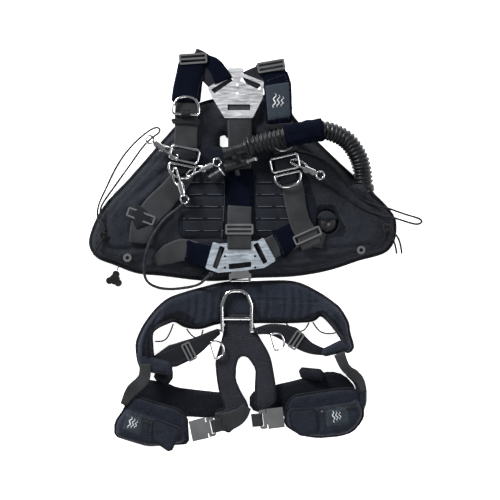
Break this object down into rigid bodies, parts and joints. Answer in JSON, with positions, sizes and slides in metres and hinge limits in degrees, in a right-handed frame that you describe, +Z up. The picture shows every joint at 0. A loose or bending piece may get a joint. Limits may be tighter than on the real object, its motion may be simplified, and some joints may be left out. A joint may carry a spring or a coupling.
{
  "type": "buoyancy compensator vest",
  "caption": "Sidemount diving buoyancy vest with a butterfly wing, plates, webbing, corrugated inflator hose and an attached hip harness with leg loops and thigh pockets.",
  "frame": {"origin": "middle of the footprint of the flat-laid object, on the surface under it", "axes": "+Y towards the neck, +X to the reader's right, +Z up from the surface"},
  "size_m": [0.6933, 0.8197, 0.0935],
  "materials": {
    "wing_nylon": "coated nylon, sewn",
    "bladder_film": "smooth polyurethane film",
    "valve_plastic": "satin moulded",
    "plate_bright": "satin anodised",
    "plate_blue": "satin anodised",
    "steel": "polished stainless",
    "webbing_grey": "woven nylon webbing",
    "webbing_black": "woven nylon webbing",
    "velcro_navy": "hook and loop",
    "pad_fabric": "padded woven nylon",
    "patch_grey": "woven patch",
    "crotch_fabric": "neoprene lined nylon",
    "hose_rubber": "corrugated, slight shine",
    "black_plastic": "satin moulded",
    "bungee_black": "braided elastic cord",
    "knob_plastic": "gloss moulded"
  },
  "bodies": {
    "vest": {"wing_shell": "wing_nylon", "air_bladder": "bladder_film", "dump_valve": "valve_plastic", "grommets": "steel", "back_panel": "pad_fabric", "shoulder_plate": "plate_bright", "lumbar_plate": "plate_blue", "spine_webbing": "webbing_grey", "shoulder_strap_left": "velcro_navy", "shoulder_strap_right": "velcro_navy", "strap_keepers": "webbing_black", "side_straps": "webbing_grey", "webbing_slides": "steel", "adjusters": "steel", "fixed_rings": "steel", "bolt_snap_bodies": "steel", "corrugated_hose": "hose_rubber", "hose_wrap": "velcro_navy", "hose_elbow": "black_plastic", "inflator_body": "black_plastic", "mouthpiece": "black_plastic", "inflator_nipple": "steel", "cord_left_loop": "bungee_black", "cord_left_main": "bungee_black", "cord_right_loop": "bungee_black", "cord_knots": "bungee_black", "cord_tails": "bungee_black", "link_buckle": "steel"},
    "harness": {"hip_belt": "pad_fabric", "belt_straps": "webbing_black", "belt_slides": "steel", "crotch_strap": "crotch_fabric", "leg_loop_left": "pad_fabric", "leg_loop_right": "pad_fabric", "pockets": "pad_fabric", "leg_buckles": "steel", "riser_straps": "webbing_black", "belt_loops": "bungee_black"},
    "lift_ring": {"lift_ring": "steel"},
    "chest_ring_left": {"chest_ring_left": "steel"},
    "hip_ring_left": {"hip_ring_left": "steel"},
    "hip_ring_right": {"hip_ring_right": "steel"},
    "flap_left": {"pocket_flap_left": "pad_fabric"},
    "flap_right": {"pocket_flap_right": "pad_fabric"},
    "tongue_left": {"leg_tongue_left": "steel"},
    "tongue_right": {"leg_tongue_right": "steel"},
    "triglide_left": {"triglide_left": "steel"},
    "triglide_right": {"triglide_right": "steel"},
    "inflate_button": {"inflate_button": "black_plastic"},
    "exhaust_button": {"exhaust_button": "black_plastic"},
    "pull": {"pull_cord": "bungee_black", "pull_knob": "knob_plastic"},
    "snap_gate_left_upper": {"snap_gate_left_upper": "steel"},
    "snap_eye_left_upper": {"snap_eye_left_upper": "steel"},
    "snap_gate_left_middle": {"snap_gate_left_middle": "steel"},
    "snap_eye_left_middle": {"snap_eye_left_middle": "steel"},
    "snap_gate_left_lower": {"snap_gate_left_lower": "steel"},
    "snap_eye_left_lower": {"snap_eye_left_lower": "steel"},
    "snap_gate_right": {"snap_gate_right": "steel"},
    "snap_eye_right": {"snap_eye_right": "steel"}
  },
  "joints": [
    {"name": "harness_link", "type": "hinge", "parent": "vest", "child": "harness", "pos_m": [0, -0.061, 0.02], "axis": [-1, 0, 0], "range_deg": [0, 90]},
    {"name": "lift_ring_fold", "type": "hinge", "parent": "harness", "child": "lift_ring", "pos_m": [-0.013, -0.166, 0.024], "axis": [1, 0, 0], "range_deg": [0, 90]},
    {"name": "chest_ring_left_swing", "type": "hinge", "parent": "vest", "child": "chest_ring_left", "pos_m": [-0.118, 0.283, 0.0453], "axis": [0.9986, -0.0523, 0], "range_deg": [0, 110]},
    {"name": "hip_ring_left_swing", "type": "hinge", "parent": "harness", "child": "hip_ring_left", "pos_m": [-0.063, -0.206, 0.0275], "axis": [0.2756, -0.9613, 0], "range_deg": [0, 90]},
    {"name": "hip_ring_right_swing", "type": "hinge", "parent": "harness", "child": "hip_ring_right", "pos_m": [0.062, -0.189, 0.0275], "axis": [0.2756, -0.9613, 0], "range_deg": [0, 90]},
    {"name": "flap_left_open", "type": "hinge", "parent": "harness", "child": "flap_left", "pos_m": [-0.1555, -0.353, 0.0678], "axis": [-0.9329, 0.3601, 0], "range_deg": [0, 120]},
    {"name": "flap_right_open", "type": "hinge", "parent": "harness", "child": "flap_right", "pos_m": [0.122, -0.3235, 0.0678], "axis": [-0.9986, -0.0535, 0], "range_deg": [0, 120]},
    {"name": "tongue_left_pull", "type": "slide", "parent": "harness", "child": "tongue_left", "axis": [0.9781, 0.2079, 0], "range_m": [0, 0.03]},
    {"name": "tongue_right_pull", "type": "slide", "parent": "harness", "child": "tongue_right", "axis": [-0.9925, -0.1219, 0], "range_m": [0, 0.03]},
    {"name": "triglide_left_slide", "type": "slide", "parent": "vest", "child": "triglide_left", "axis": [0.0698, -0.9976, 0], "range_m": [0, 0.02]},
    {"name": "triglide_right_slide", "type": "slide", "parent": "vest", "child": "triglide_right", "axis": [0.1736, -0.9848, 0], "range_m": [0, 0.02]},
    {"name": "inflate_press", "type": "slide", "parent": "vest", "child": "inflate_button", "axis": [-0.2941, 0.9558, 0], "range_m": [0, 0.003], "stiffness_N_per_m": 500},
    {"name": "exhaust_press", "type": "slide", "parent": "vest", "child": "exhaust_button", "axis": [0, 0, -1], "range_m": [0, 0.004], "stiffness_N_per_m": 500},
    {"name": "dump_pull", "type": "slide", "parent": "vest", "child": "pull", "axis": [-0.3005, -0.9538, 0], "range_m": [0, 0.012], "stiffness_N_per_m": 300},
    {"name": "snap_gate_left_upper_open", "type": "slide", "parent": "vest", "child": "snap_gate_left_upper", "axis": [-0.8102, 0.5861, 0], "range_m": [0, 0.01], "stiffness_N_per_m": 300},
    {"name": "snap_eye_left_upper_swivel", "type": "hinge", "parent": "vest", "child": "snap_eye_left_upper", "pos_m": [-0.16387, 0.21021, 0.05296], "axis": [-0.8102, 0.5861, 0], "range_deg": [-8, 8]},
    {"name": "snap_gate_left_middle_open", "type": "slide", "parent": "vest", "child": "snap_gate_left_middle", "axis": [0.8944, 0.4472, 0], "range_m": [0, 0.01], "stiffness_N_per_m": 300},
    {"name": "snap_eye_left_middle_swivel", "type": "hinge", "parent": "vest", "child": "snap_eye_left_middle", "pos_m": [-0.08365, 0.16815, 0.05296], "axis": [0.8944, 0.4472, 0], "range_deg": [-8, 8]},
    {"name": "snap_gate_left_lower_open", "type": "slide", "parent": "vest", "child": "snap_gate_left_lower", "axis": [0.2501, -0.9682, 0], "range_m": [0, 0.01], "stiffness_N_per_m": 300},
    {"name": "snap_eye_left_lower_swivel", "type": "hinge", "parent": "vest", "child": "snap_eye_left_lower", "pos_m": [-0.12877, 0.14019, 0.05296], "axis": [0.2501, -0.9682, 0], "range_deg": [-8, 8]},
    {"name": "snap_gate_right_open", "type": "slide", "parent": "vest", "child": "snap_gate_right", "axis": [0.92, -0.392, 0], "range_m": [0, 0.01], "stiffness_N_per_m": 300},
    {"name": "snap_eye_right_swivel", "type": "hinge", "parent": "vest", "child": "snap_eye_right", "pos_m": [0.12748, 0.16992, 0.05296], "axis": [0.92, -0.392, 0], "range_deg": [-8, 8]}
  ]
}
